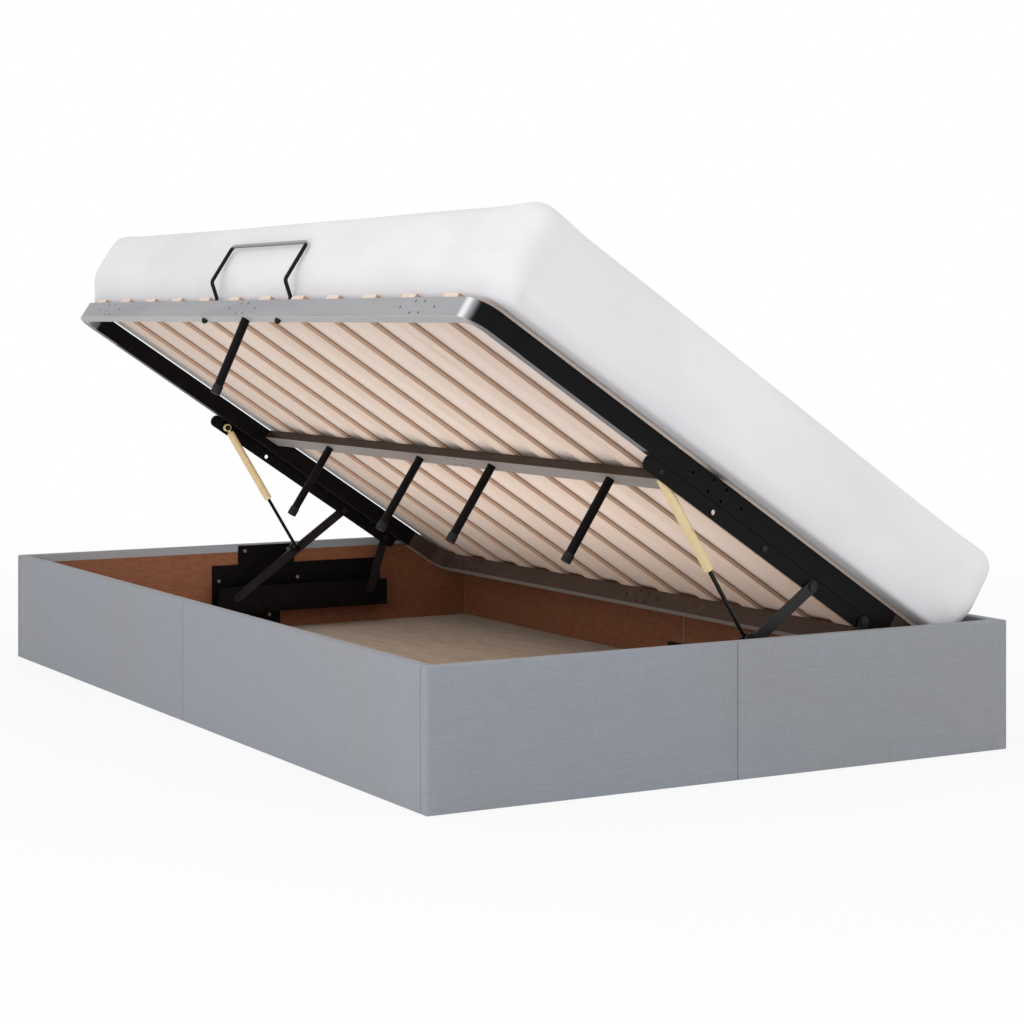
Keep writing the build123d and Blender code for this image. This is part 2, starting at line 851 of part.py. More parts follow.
def lid_pins():
    """Pins on the lid's angles: front link, rear link, strut and one bolt, on both sides."""
    solids = []
    head = pin_head_wall
    for side in (NEAR, FAR):
        place, z = link_pin_place, -link_pin_drop
        inner = side * (angle_inner - head)
        outer = side * (link_outer + side_clearance)
        pin = cross_pin(place, z, side * angle_inner, outer, pin_radius)
        pin += cross_pin(place, z, inner, side * angle_inner, pin_head_radius)
        pin += cross_pin(place, z, outer, outer + side * head, pin_head_radius)
        pin += cross_pin(place, z, side * angle_outer, side * spacer_outer, pin_head_radius)
        solids.append(pin)
        place, z = rear_pin_place, -rear_pin_drop
        pin = cross_pin(place, z, side * angle_inner, side * spacer_outer, pin_radius)
        pin += cross_pin(place, z, side * angle_outer, side * spacer_outer, pin_head_radius)
        pin += cross_pin(place, z, inner, side * angle_inner, pin_head_radius)
        solids.append(pin)
        place, z = stop_bolt_place, -stop_bolt_drop
        pin = cross_pin(place, z, side * angle_inner, side * angle_outer, angle_bolt_radius)
        pin += cross_pin(place, z, inner, side * angle_inner, pin_head_radius * 3 / 4)
        pin += cross_pin(
            place, z, side * angle_outer, side * (angle_outer + head), pin_head_radius * 3 / 4
        )
        solids.append(pin)
        place, z = strut_pin_place, -strut_pin_drop
        shank_end = eye_inner - side_clearance
        pin = cross_pin(place, z, side * shank_end, side * angle_outer, foot_stud_radius)
        pin += cross_pin(
            place, z, side * (eye_outer + side_clearance), side * angle_inner, collar_radius
        )
        pin += cross_pin(place, z, side * shank_end, side * (shank_end - clip_wall), clip_radius)
        solids.append(pin)
    return group(solids)


def angle_bolts():
    """Bolts that hold the lid's angles to the side rails."""
    solids = []
    low = -tube_height - angle_shelf_wall
    for side in (NEAR, FAR):
        y = side * (rail_inner + rail_outer) / 2
        for back in angle_bolt_backs:
            place = frame_width - back
            head = RegularPolygon(angle_bolt_radius, 6)
            solids.append(Pos(place, y, low - angle_bolt_head) * extrude(head, angle_bolt_head))
    return group(solids)


def mattress_outline(inset, hinge_inset, corner):
    """Plan outline of the mattress, its four sides drawn in a little between the corners."""
    half_x = (mattress_width - inset - hinge_inset) / 2
    half_y = mattress_length / 2 - inset
    draw = mattress_draw
    cut = corner * (1 - math.sqrt(0.5))
    points = [
        ((half_x, -half_y + corner), (half_x - draw, 0), (half_x, half_y - corner)),
        ((half_x, half_y - corner), (half_x - cut, half_y - cut), (half_x - corner, half_y)),
        ((half_x - corner, half_y), (0, half_y - draw), (-half_x + corner, half_y)),
        ((-half_x + corner, half_y), (-half_x + cut, half_y - cut), (-half_x, half_y - corner)),
        ((-half_x, half_y - corner), (-half_x + draw, 0), (-half_x, -half_y + corner)),
        ((-half_x, -half_y + corner), (-half_x + cut, -half_y + cut), (-half_x + corner, -half_y)),
        ((-half_x + corner, -half_y), (0, -half_y + draw), (half_x - corner, -half_y)),
        ((half_x - corner, -half_y), (half_x - cut, -half_y + cut), (half_x, -half_y + corner)),
    ]
    middle = mattress_middle + (inset - hinge_inset) / 2
    return Pos(middle, 0, 0) * make_face([ThreePointArc(*arc) for arc in points])


def mattress():
    """Foam mattress with a flat underside, rounded edges and a crowned top."""
    sections = []
    for step in range(mattress_round_steps):
        turn = math.radians(90) * step / (mattress_round_steps - 1)
        more = mattress_foot_round * (1 - math.sin(turn))
        height = mattress_foot_round * (1 - math.cos(turn))
        sections.append((mattress_foot_draw + more, mattress_hinge_foot_draw + more, height))
    sections.append((0, 0, mattress_foot_rise))
    shoulder = mattress_wall - mattress_crown
    for step in range(mattress_round_steps + 1):
        turn = math.radians(90) * step / mattress_round_steps
        inset = mattress_top_round * (1 - math.cos(turn))
        sections.append((inset, inset, shoulder - mattress_top_round * (1 - math.sin(turn))))
    crown_inset = mattress_width / 2 - mattress_top_round - mattress_corner
    for step in range(1, mattress_round_steps):
        share = step / (mattress_round_steps - 1)
        inset = mattress_top_round + mattress_crown_share * crown_inset * share
        sections.append((inset, inset, shoulder + mattress_crown * (1 - (1 - share) ** 2)))
    faces = []
    for inset, hinge_inset, height in sections:
        corner = mattress_corner + mattress_top_round - min(inset, mattress_top_round)
        faces.append(Pos(0, 0, slat_wall + height) * mattress_outline(inset, hinge_inset, corner))
    return loft(faces, ruled=True)


def lid_parts():
    """Everything that lifts with the lid, in its raised place."""
    parts = frame_parts()
    parts["lid_angle_near"] = lid_angle(NEAR)
    parts["lid_angle_far"] = lid_angle(FAR)
    parts["lid_pivot_pins"] = lid_pins()
    parts["lid_angle_bolts"] = angle_bolts()
    for index in range(slat_count):
        parts[f"slat_{index + 1:02d}"] = slat(index)
    places = leg_places()
    parts["front_leg"] = leg(*places[0])
    parts["middle_legs"] = group([leg(*place) for place in places[1:]])
    parts["leg_caps"] = group([leg_cap(*place) for place in places])
    parts["retainer_bar"] = retainer_bar()
    parts["retainer_nuts"] = retainer_nuts()
    parts["mattress"] = mattress()
    return {name: lid_place * solid for name, solid in parts.items()}


def box_parts():
    """The box, its floor and the hinge plates on its ends."""
    parts = box_panels()
    parts["corner_brackets"] = group(four_corners(corner_bracket()))
    parts["joining_plates"] = group(on_four_walls(joining_plate()))
    parts["box_screws"] = box_screws()
    parts["floor_board_near"] = floor_board(NEAR)
    parts["floor_board_far"] = floor_board(FAR)
    parts["floor_battens"] = floor_battens()
    parts["hinge_plate_near"] = hinge_plate(NEAR)
    parts["hinge_plate_far"] = hinge_plate(FAR)
    parts["base_pivot_pins"] = base_pins()
    return parts


def mechanism_parts():
    """Links and gas struts on both sides."""
    parts = {}
    for side, word in ((NEAR, "near"), (FAR, "far")):
        parts["front_link_" + word] = front_link(side)
        parts["rear_link_" + word] = rear_link(side)
        parts["strut_cylinder_" + word] = strut_cylinder(side)
        parts["strut_rod_" + word] = strut_rod(side)
    return parts


os.makedirs("parts", exist_ok=True)
for node, solid in {**box_parts(), **mechanism_parts(), **lid_parts()}.items():
    export_step(solid, f"parts/{node}.step")

print("front link base", link_base, "open", link_open, "closed", link_closed)
print("lid pin", raised(link_pin_place, link_pin_drop))
print("rear link base", rear_base, "open", rear_open, "closed", rear_closed)
print("strut top", strut_top_open, "open", strut_open, "closed", strut_closed)
print("strut foot", foot_open, "length", strut_length, "stroke", strut_stroke)
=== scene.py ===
import sys
import json
import logging
import math
from collections.abc import Callable, Sequence
from dataclasses import dataclass
from enum import Enum
from typing import Protocol

import bpy
from mathutils import Matrix, Vector, noise


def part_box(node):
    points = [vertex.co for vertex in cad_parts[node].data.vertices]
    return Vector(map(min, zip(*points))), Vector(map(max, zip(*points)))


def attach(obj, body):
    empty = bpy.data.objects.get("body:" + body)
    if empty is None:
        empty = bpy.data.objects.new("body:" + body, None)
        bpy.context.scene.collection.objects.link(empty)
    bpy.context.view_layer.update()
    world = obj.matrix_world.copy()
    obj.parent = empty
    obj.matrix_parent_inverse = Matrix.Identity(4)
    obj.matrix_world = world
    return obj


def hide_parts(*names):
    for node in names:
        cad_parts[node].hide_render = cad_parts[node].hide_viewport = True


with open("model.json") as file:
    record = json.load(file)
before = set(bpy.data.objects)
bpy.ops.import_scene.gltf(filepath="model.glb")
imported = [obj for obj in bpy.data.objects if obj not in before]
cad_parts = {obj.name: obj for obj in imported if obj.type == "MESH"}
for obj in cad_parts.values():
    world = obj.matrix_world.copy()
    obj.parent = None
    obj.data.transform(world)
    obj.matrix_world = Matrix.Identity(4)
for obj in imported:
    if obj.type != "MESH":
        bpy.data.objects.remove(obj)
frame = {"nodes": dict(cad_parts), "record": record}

log = logging.getLogger("storage_bed")

Colour = tuple[float, float, float, float]
Triple = tuple[float, float, float]
Socket = bpy.types.NodeSocket
Feed = Socket | float | Sequence[float]
Pair = tuple[float, float]


def paint(red: float, green: float, blue: float) -> Colour:
    """Turn a screen colour into the linear colour that a shader takes.

    Args:
        red: Red, from 0 to 255.
        green: Green, from 0 to 255.
        blue: Blue, from 0 to 255.

    Returns:
        Linear colour with an alpha of one.
    """

    def linear(value: float) -> float:
        """Undo the screen curve for one channel."""
        share = value / 255
        return share / 12.92 if share <= 0.04045 else ((share + 0.055) / 1.055) ** 2.4

    return (linear(red), linear(green), linear(blue), 1.0)


@dataclass(frozen=True)
class LidPlane:
    """Place of the raised lid: u runs from its front edge, w up from the rails' top, in metres."""

    tilt: float = math.radians(33.3)
    width: float = 1.18
    hinge_edge: Pair = (0.51025, 0.19015)

    def front(self) -> Triple:
        """Front edge of the rails' top, in the bed's frame.

        Returns:
            Place of the edge's middle.
        """
        x = self.hinge_edge[0] - self.width * math.cos(self.tilt)
        z = self.hinge_edge[1] + self.width * math.sin(self.tilt)
        return (x, 0.0, z)

    def matrix(self) -> Matrix:
        """Placement that takes a flat lid piece to its raised place."""
        return Matrix.Translation(self.front()) @ Matrix.Rotation(self.tilt, 4, "Y")


LID = LidPlane()


class ShaderGraph:
    """Node graph of one finish, with a short method for each kind of node."""

    def __init__(self, name: str) -> None:
        """Start a material with its principled shader.

        Args:
            name: Name of the material.
        """
        self.material = bpy.data.materials.new(name)
        self.material.use_nodes = True
        self.tree = self.material.node_tree
        self.shader = next(n for n in self.tree.nodes if n.type == "BSDF_PRINCIPLED")

    def feed(self, socket: Socket, value: Feed) -> None:
        """Link a socket, or set the value that it holds.

        Args:
            socket: Socket to fill.
            value: Socket to link, or a plain value.
        """
        if isinstance(value, bpy.types.NodeSocket):
            self.tree.links.new(value, socket)
        else:
            socket.default_value = value

    def node(self, kind: str, inputs: dict[str | int, Feed], **settings: object) -> bpy.types.Node:
        """Add a node.

        Args:
            kind: Blender's name for the node type.
            inputs: What goes into its sockets, by name or index.
            **settings: Properties set on the node.

        Returns:
            The new node.
        """
        made = self.tree.nodes.new(kind)
        for key, value in settings.items():
            setattr(made, key, value)
        for key, value in inputs.items():
            self.feed(made.inputs[key], value)
        return made

    def place(self, scale: Triple = (1, 1, 1)) -> Socket:
        """Object coordinates, stretched by a scale."""
        at = self.node("ShaderNodeTexCoord", {}).outputs["Object"]
        return self.node("ShaderNodeMapping", {"Vector": at, "Scale": scale}).outputs[0]

    def on_lid(self, scale: Triple = (1, 1, 1)) -> Socket:
        """Coordinates of the lid: u from its front edge, y along the bed and w up.

        Args:
            scale: Stretch of the three coordinates.

        Returns:
            Vector socket.
        """
        at = self.node("ShaderNodeTexCoord", {}).outputs["Object"]
        turned = self.node(
            "ShaderNodeMapping",
            {"Vector": at, "Location": LID.front(), "Rotation": (0, LID.tilt, 0)},
            vector_type="TEXTURE",
        )
        return self.node("ShaderNodeMapping", {"Vector": turned.outputs[0], "Scale": scale}).outputs[0]

    def grain(self, at: Socket, scale: float = 1, detail: float = 2, rough: float = 0.5) -> Socket:
        """Noise from 0 to 1 at a place.

        Args:
            at: Place to read.
            scale: How fine the noise is.
            detail: How many finer layers it has.
            rough: How strong the finer layers are.

        Returns:
            Value socket.
        """
        made = self.node(
            "ShaderNodeTexNoise", {"Vector": at, "Scale": scale, "Detail": detail, "Roughness": rough}
        )
        return made.outputs["Fac"]

    def calc(self, operation: str, first: Feed, second: Feed = 0.0) -> Socket:
        """Math node on two values."""
        return self.node("ShaderNodeMath", {0: first, 1: second}, operation=operation).outputs[0]

    def span(self, value: Socket, low: float, high: float, start: float = 0, end: float = 1) -> Socket:
        """Smooth step of a value between two limits.

        Args:
            value: Value to read.
            low: Value at which the step starts.
            high: Value at which it ends.
            start: Result at the low limit.
            end: Result at the high limit.

        Returns:
            Value socket.
        """
        made = self.node(
            "ShaderNodeMapRange",
            {"Value": value, "From Min": low, "From Max": high, "To Min": start, "To Max": end},
            interpolation_type="SMOOTHSTEP",
        )
        return made.outputs["Result"]

    def axes(self, at: Socket) -> tuple[Socket, Socket, Socket]:
        """Three parts of a vector."""
        made = self.node("ShaderNodeSeparateXYZ", {0: at})
        return made.outputs[0], made.outputs[1], made.outputs[2]

    def blend(self, share: Feed, first: Feed, second: Feed) -> Socket:
        """Colour between two colours."""
        made = self.node("ShaderNodeMix", {0: share, 6: first, 7: second}, data_type="RGBA")
        return made.outputs[2]

    def dress(self, colour: Feed, roughness: Feed, metallic: float = 0.0, specular: float = 0.5) -> None:
        """Set the shader's colour, roughness, metal and specular level.

        Args:
            colour: Base colour.
            roughness: Roughness.
            metallic: Metal share.
            specular: Specular level.
        """
        self.feed(self.shader.inputs["Base Color"], colour)
        self.feed(self.shader.inputs["Roughness"], roughness)
        self.shader.inputs["Metallic"].default_value = metallic
        self.shader.inputs["Specular IOR Level"].default_value = specular

    def nap(self, weight: float, roughness: float) -> None:
        """Give the surface the soft sheen of cloth."""
        self.shader.inputs["Sheen Weight"].default_value = weight
        self.shader.inputs["Sheen Roughness"].default_value = roughness

    def relief(self, height: Socket, strength: float, distance: float) -> None:
        """Bump the surface by a height.

        Args:
            height: Height to follow.
            strength: Share of the bump that shows.
            distance: Height of the bump in metres.
        """
        made = self.node(
            "ShaderNodeBump", {"Height": height, "Strength": strength, "Distance": distance}
        )
        self.feed(self.shader.inputs["Normal"], made.outputs[0])


@dataclass(frozen=True)
class WovenCover:
    """Linen-look upholstery cloth with slubs along and across."""

    bluish: Colour = paint(143, 148, 156)
    greyish: Colour = paint(144, 146, 151)
    slub: Colour = paint(172, 176, 181)
    slub_share: float = 0.10
    thread_shades: Pair = (0.93, 1.05)
    along_share: float = 0.55
    threads_along: Triple = (26, 26, 640)
    threads_upward: Triple = (560, 560, 22)
    slub_threads: Triple = (14, 14, 420)
    patch_scale: float = 2.3
    weave_depth: float = 0.0008

    def build(self, name: str) -> bpy.types.Material:
        """Make the cloth's material.

        Args:
            name: Name of the material.

        Returns:
            The new material.
        """
        g = ShaderGraph(name)
        along = g.grain(g.place(self.threads_along), detail=3, rough=0.6)
        upward = g.grain(g.place(self.threads_upward), detail=3, rough=0.6)
        weave = g.calc(
            "ADD", g.calc("MULTIPLY", along, self.along_share),
            g.calc("MULTIPLY", upward, 1 - self.along_share),
        )
        patch = g.span(g.grain(g.place(), self.patch_scale, 2), 0.38, 0.62)
        base = g.blend(patch, self.bluish, self.greyish)
        shade = g.span(weave, 0.36, 0.64, *self.thread_shades)
        tinted = g.node("ShaderNodeVectorMath", {0: base, "Scale": shade}, operation="SCALE")
        slub = g.span(g.grain(g.place(self.slub_threads), detail=1), 0.66, 0.78)
        colour = g.blend(g.calc("MULTIPLY", slub, self.slub_share), tinted.outputs[0], self.slub)
        g.dress(colour, g.span(weave, 0.3, 0.7, 0.86, 0.96), specular=0.2)
        g.nap(0.12, 0.6)
        g.relief(weave, 0.35, self.weave_depth)
        return g.material


@dataclass(frozen=True)
class KnittedCover:
    """White knitted mattress cover, soft and faintly uneven, with painted shade at the foot of its sides and
    on its underside between the slats.
    """

    pale: Colour = paint(233, 232, 234)
    shaded: Colour = paint(226, 225, 228)
    foot_shade: Colour = paint(205, 203, 207)
    # painted shade: the underside seen between the slats takes a warm darker colour for the shade there and
    # the light thrown back by the slats
    painted_underside_shading: Colour = paint(225, 209, 198)
    foot_fade: Pair = (0.012, 0.052)
    foot_share: float = 0.55
    underside: Pair = (0.0107, 0.0125)
    inside_rails: Pair = (0.925, 0.94)
    bar_reach: Pair = (0.16, 0.30)
    bar_depth: Pair = (0.01, 0.05)
    rib_share: float = 0.05
    crease_share: float = 1.6
    hollow_share: float = 0.7
    rib_threads: Triple = (420, 420, 420)
    patches: Triple = (3, 3, 6)
    creases: Triple = (9, 13, 22)
    hollows: Triple = (5, 6, 9)
    relief_depth: float = 0.006

    def build(self, name: str) -> bpy.types.Material:
        """Make the knit's material.

        Args:
            name: Name of the material.

        Returns:
            The new material.
        """
        g = ShaderGraph(name)
        rib = g.grain(g.on_lid(self.rib_threads), detail=2)
        patch = g.span(g.grain(g.on_lid(self.patches), detail=3), 0.35, 0.65)
        u, y, w = g.axes(g.on_lid())
        aside = g.calc("ABSOLUTE", y)
        by_bar = g.calc("MULTIPLY", g.span(aside, *self.bar_reach, 1, 0), g.span(u, *self.bar_depth, 1, 0))
        crease = g.grain(g.on_lid(self.creases), detail=2, rough=0.35)
        # painted shade: the sides turn grey towards the foot, where shade falls
        foot = g.calc("MULTIPLY", g.span(w, *self.foot_fade, 1, 0), self.foot_share)
        colour = g.blend(foot, g.blend(patch, self.pale, self.shaded), self.foot_shade)
        # mask for the painted shade on the flat underside inside the rails
        flat = g.span(w, *self.underside, 1, 0)
        on_slats = g.calc("MULTIPLY", flat, g.span(aside, *self.inside_rails, 1, 0))
        g.dress(g.blend(on_slats, colour, self.painted_underside_shading), 0.92, specular=0.15)
        g.nap(0.2, 0.5)
        creased = g.calc("MULTIPLY", crease, g.calc("MULTIPLY", by_bar, self.crease_share))
        height = g.calc("ADD", g.calc("MULTIPLY", rib, self.rib_share), creased)
        hollow = g.calc("MULTIPLY", g.grain(g.on_lid(self.hollows), detail=2), self.hollow_share)
        g.relief(g.calc("ADD", height, hollow), 0.6, self.relief_depth)
        return g.material


@dataclass(frozen=True)
class PressedBoard:
    """Plain pressed board with fine fibres and flecks."""

    base: Colour
    fleck: Colour
    fibre: Triple = (55, 55, 190)
    fibre_share: float = 0.6
    cloud_share: float = 0.3
    cloud_scale: float = 5
    fibre_depth: float = 0.0006

    def build(self, name: str) -> bpy.types.Material:
        """Make the board's material.

        Args:
            name: Name of the material.

        Returns:
            The new material.
        """
        g = ShaderGraph(name)
        fibre = g.grain(g.place(self.fibre), detail=4, rough=0.65)
        cloud = g.grain(g.place(), self.cloud_scale, 3)
        flecked = g.calc("MULTIPLY", g.span(fibre, 0.4, 0.72), self.fibre_share)
        share = g.calc("ADD", flecked, g.calc("MULTIPLY", cloud, self.cloud_share))
        g.dress(g.blend(share, self.base, self.fleck), g.span(fibre, 0.3, 0.7, 0.62, 0.8))
        g.relief(fibre, 0.25, self.fibre_depth)
        return g.material


@dataclass(frozen=True)
class SlatBirch:
    """Bare birch slat: pale underside with long grain, painted shade on its sides and a painted shadow along
    the top of each side where it meets the mattress.
    """

    pale: Colour = paint(232, 215, 202)
    grain_line: Colour = paint(212, 190, 172)
    # painted shade colour of the sides, and painted shadow colour where they meet the mattress
    painted_side_shade: Colour = paint(190, 160, 138)
    painted_contact_shadow: Colour = paint(120, 96, 78)
    streak: Colour = paint(224, 201, 182)
    streak_share: float = 0.5
    side_shade_share: float = 0.85
    contact_shadow_share: float = 0.8
    half_width: float = 0.027
    side_fade: Pair = (0.0022, 0.0004)
    wall: float = 0.010
    contact_shadow_fade: Pair = (0.55, 0.98)
    past_zero: float = 100.0
    grain_lines: Triple = (3.2, 230, 160)
    clouds: Triple = (2.2, 14, 5)
    line_depth: float = 0.0004

    def build(self, name: str) -> bpy.types.Material:
        """Make the slats' material.

        Args:
            name: Name of the material.

        Returns:
            The new material.
        """
        low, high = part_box("slat_01")
        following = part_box("slat_02")
        pitch = (following[0].y + following[1].y - low.y - high.y) / 2
        g = ShaderGraph(name)
        line = g.grain(g.on_lid(self.grain_lines), detail=4, rough=0.6)
        cloud = g.grain(g.on_lid(self.clouds), detail=3)
        _, y, w = g.axes(g.on_lid())
        turn = g.calc("FRACT", g.calc("ADD", g.calc("DIVIDE", y, pitch), self.past_zero))
        aside = g.calc("MULTIPLY", g.calc("ABSOLUTE", g.calc("SUBTRACT", turn, 0.5)), pitch)
        # painted shade: the colour turns brownish at and near each side of a slat
        edge = g.span(aside, *(self.half_width - inset for inset in self.side_fade))
        wood = g.blend(g.span(line, 0.42, 0.7), self.pale, self.grain_line)
        wood = g.blend(g.calc("MULTIPLY", g.span(cloud, 0.42, 0.66), self.streak_share), wood, self.streak)
        side_shaded = g.blend(g.calc("MULTIPLY", edge, self.side_shade_share), wood, self.painted_side_shade)
        # painted shadow: the upper part of each side turns much darker where the slat meets the mattress
        contact_shadow_mask = g.calc("MULTIPLY", edge, g.span(w, *(self.wall * share for share in self.contact_shadow_fade)))
        colour = g.blend(g.calc("MULTIPLY", contact_shadow_mask, self.contact_shadow_share), side_shaded, self.painted_contact_shadow)
        g.dress(colour, g.span(line, 0.3, 0.7, 0.5, 0.66))
        g.relief(line, 0.2, self.line_depth)
        return g.material


@dataclass(frozen=True)
class PowderCoat:
    """Powder coated steel with a fine uneven skin and, where asked, painted light on its underside: a
    lighter colour for the light thrown up from the floor.
    """

    base: Colour
    scuff: Colour
    roughness: float = 0.42
    metallic: float = 0.0
    scuff_share: float = 0.35
    specular: float = 0.3
    painted_underside_shading: Colour | None = None
    under_at: float = -0.0385
    under_until: float = 2.0
    under_fade: float = 0.0008
    until_fade: float = 0.01
    unevenness: Pair = (-0.05, 0.08)
    skin_scale: float = 620
    scuff_scale: float = 26
    skin_depth: float = 0.0004

    def build(self, name: str) -> bpy.types.Material:
        """Make the coat's material.

        Args:
            name: Name of the material.

        Returns:
            The new material.
        """
        g = ShaderGraph(name)
        skin = g.grain(g.place(), self.skin_scale, 2)
        scuff = g.span(g.grain(g.place(), self.scuff_scale, 5, 0.68), 0.56, 0.74)
        colour = g.blend(g.calc("MULTIPLY", scuff, self.scuff_share), self.base, self.scuff)
        # painted light: the underside, below under_at and ahead of under_until, turns lighter for the light
        # thrown up from the floor
        if self.painted_underside_shading is not None:
            u, _, w = g.axes(g.on_lid())
            low = g.span(w, self.under_at - self.under_fade, self.under_at, 1, 0)
            ahead = g.span(u, self.under_until - self.until_fade, self.under_until, 1, 0)
            colour = g.blend(g.calc("MULTIPLY", low, ahead), colour, self.painted_underside_shading)
        sheen = g.span(skin, 0.3, 0.7, *(self.roughness + step for step in self.unevenness))
        g.dress(colour, sheen, self.metallic, self.specular)
        g.relief(skin, 0.12, self.skin_depth)
        return g.material


@dataclass(frozen=True)
class SilverRail:
    """Front rail: silver grey with a painted highlight at each bend, painted light on its underside, and
    black past the bends.
    """

    silver: Colour = paint(160, 160, 163)
    silver_cloud: Colour = paint(152, 152, 156)
    painted_underside_shading: Colour = paint(180, 179, 181)
    painted_underside_past_bends: Colour = paint(128, 126, 128)
    black: Colour = paint(12, 11, 12)
    # painted highlight colour of the line before each bend
    painted_highlight: Colour = paint(226, 226, 229)
    glint_from: Pair = (0.896, 0.909)
    glint_to: Pair = (0.912, 0.921)
    turn: Pair = (0.918, 0.932)
    side_turn: Pair = (0.045, 0.06)
    underside: Pair = (-0.0395, -0.0385)
    brush_lines: Triple = (300, 4, 300)
    clouds: Triple = (6, 3, 20)
    brush_depth: float = 0.0003

    def build(self, name: str) -> bpy.types.Material:
        """Make the front rail's material.

        Args:
            name: Name of the material.

        Returns:
            The new material.
        """
        g = ShaderGraph(name)
        u, y, w = g.axes(g.on_lid())
        brushed = g.grain(g.on_lid(self.brush_lines), detail=3)
        cloud = g.grain(g.on_lid(self.clouds), detail=3)
        face = g.blend(g.span(cloud, 0.35, 0.65), self.silver, self.silver_cloud)
        low = g.span(w, *self.underside, 1, 0)
        aside = g.calc("ABSOLUTE", y)
        # painted highlight: a light line on the face just before each bend
        painted_highlight_mask = g.calc("MULTIPLY", g.span(aside, *self.glint_from), g.span(aside, *self.glint_to, 1, 0))
        face = g.blend(painted_highlight_mask, face, self.painted_highlight)
        ends = g.calc("MAXIMUM", g.span(aside, *self.turn), g.span(u, *self.side_turn))
        # painted light on the underside: light grey along the silver face, mid grey past the bends
        painted_underside_strip = g.blend(ends, self.painted_underside_shading, self.painted_underside_past_bends)
        colour = g.blend(low, g.blend(ends, face, self.black), painted_underside_strip)
        g.dress(colour, g.span(brushed, 0.3, 0.7, 0.36, 0.5), 0.05, 0.1)
        g.relief(brushed, 0.06, self.brush_depth)
        return g.material


@dataclass(frozen=True)
class ZincPlate:
    """Zinc plated steel of screws, pins and nuts."""

    base: Colour = paint(176, 176, 178)
    mottle: Colour = paint(150, 150, 148)
    roughness: float = 0.36
    unevenness: Pair = (-0.08, 0.1)
    mottle_scale: float = 240
    mottle_depth: float = 0.0003

    def build(self, name: str) -> bpy.types.Material:
        """Make the plating's material.

        Args:
            name: Name of the material.

        Returns:
            The new material.
        """
        g = ShaderGraph(name)
        mottle = g.grain(g.place(), self.mottle_scale, 3)
        colour = g.blend(g.span(mottle, 0.35, 0.65), self.base, self.mottle)
        sheen = g.span(mottle, 0.3, 0.7, *(self.roughness + step for step in self.unevenness))
        g.dress(colour, sheen, 0.9)
        g.relief(mottle, 0.08, self.mottle_depth)
        return g.material


@dataclass(frozen=True)
class RetainerCoat:
    """Black rod whose upper run has a painted grey reflection."""

    base: Colour = paint(14, 13, 15)
    # painted reflection colour of the upper run
    sheen: Colour = paint(150, 149, 152)
    top: float = 0.1165
    top_fade: Pair = (-0.001, 0.004)
    skin_scale: float = 500
    skin_depth: float = 0.0003

    def build(self, name: str) -> bpy.types.Material:
        """Make the rod's material.

        Args:
            name: Name of the material.

        Returns:
            The new material.
        """
        g = ShaderGraph(name)
        _, _, w = g.axes(g.on_lid())
        skin = g.grain(g.place(), self.skin_scale, 2)
        # painted reflection: the upper run turns grey for the reflection of the white surroundings
        upper = g.span(w, *(self.top + step for step in self.top_fade))
        g.dress(g.blend(upper, self.base, self.sheen), g.span(skin, 0.3, 0.7, 0.3, 0.42), specular=0.2)
        g.relief(skin, 0.1, self.skin_depth)
        return g.material


class Finish(Protocol):
    """Anything that can make a material."""

    def build(self, name: str) -> bpy.types.Material:
        """Make the material under a name."""


COAL = paint(14, 12, 14)
COAL_SCUFF = paint(32, 30, 32)
RAIL_UNDERSIDE = -0.0392
BAR_UNDERSIDE = -0.0192
ANGLE_START = 0.43
FINISHES: dict[str, Finish] = {
    "grey_fabric": WovenCover(),
    "brown_board": PressedBoard(paint(134, 83, 54), paint(110, 67, 43)),
    "floor_board": PressedBoard(paint(184, 172, 158), paint(164, 150, 134), (40, 12, 60)),
    "batten_wood": PressedBoard(paint(196, 168, 132), paint(170, 138, 102), (8, 120, 120)),
    "black_steel": PowderCoat(COAL, COAL_SCUFF, specular=0.1),
    "silver_steel": SilverRail(),
    # painted light: this coat's underside colour stands for the light thrown up from the floor
    "grey_brown_steel": PowderCoat(
        paint(70, 55, 48), paint(100, 80, 68), scuff_share=0.6, specular=0.15,
        painted_underside_shading=paint(146, 142, 142), under_at=RAIL_UNDERSIDE,
    ),
    "zinc_steel": ZincPlate(),
    "blackened_steel": PowderCoat(paint(30, 29, 31), paint(62, 60, 62), 0.32, 0.3),
    "link_steel": PowderCoat(paint(26, 24, 26), paint(50, 48, 49), 0.38),
    "slat_birch": SlatBirch(),
    "mattress_knit": KnittedCover(),
    "black_plastic": PowderCoat(paint(24, 24, 26), paint(42, 42, 44), 0.5),
    "strut_cream": PowderCoat(paint(224, 203, 157), paint(186, 162, 114), 0.4, scuff_share=0.6),
    "strut_rod_black": PowderCoat(paint(20, 19, 20), paint(48, 46, 46), 0.22, 0.3, 0.2),
}
# painted light: the underside colours of the side rails and the middle bar stand for the light thrown up
# from the floor
NODE_FINISHES: dict[str, Finish] = {
    "side_rail_near": PowderCoat(
        COAL, COAL_SCUFF, specular=0.1, painted_underside_shading=paint(128, 127, 130), under_at=RAIL_UNDERSIDE,
        under_until=ANGLE_START,
    ),
    "side_rail_far": PowderCoat(
        COAL, COAL_SCUFF, specular=0.1, painted_underside_shading=paint(80, 79, 81), under_at=RAIL_UNDERSIDE
    ),
    "middle_bar": PowderCoat(
        paint(57, 45, 37), paint(76, 61, 49), scuff_share=0.5, specular=0.12,
        painted_underside_shading=paint(142, 136, 134), under_at=BAR_UNDERSIDE,
    ),
    "retainer_bar": RetainerCoat(),
}


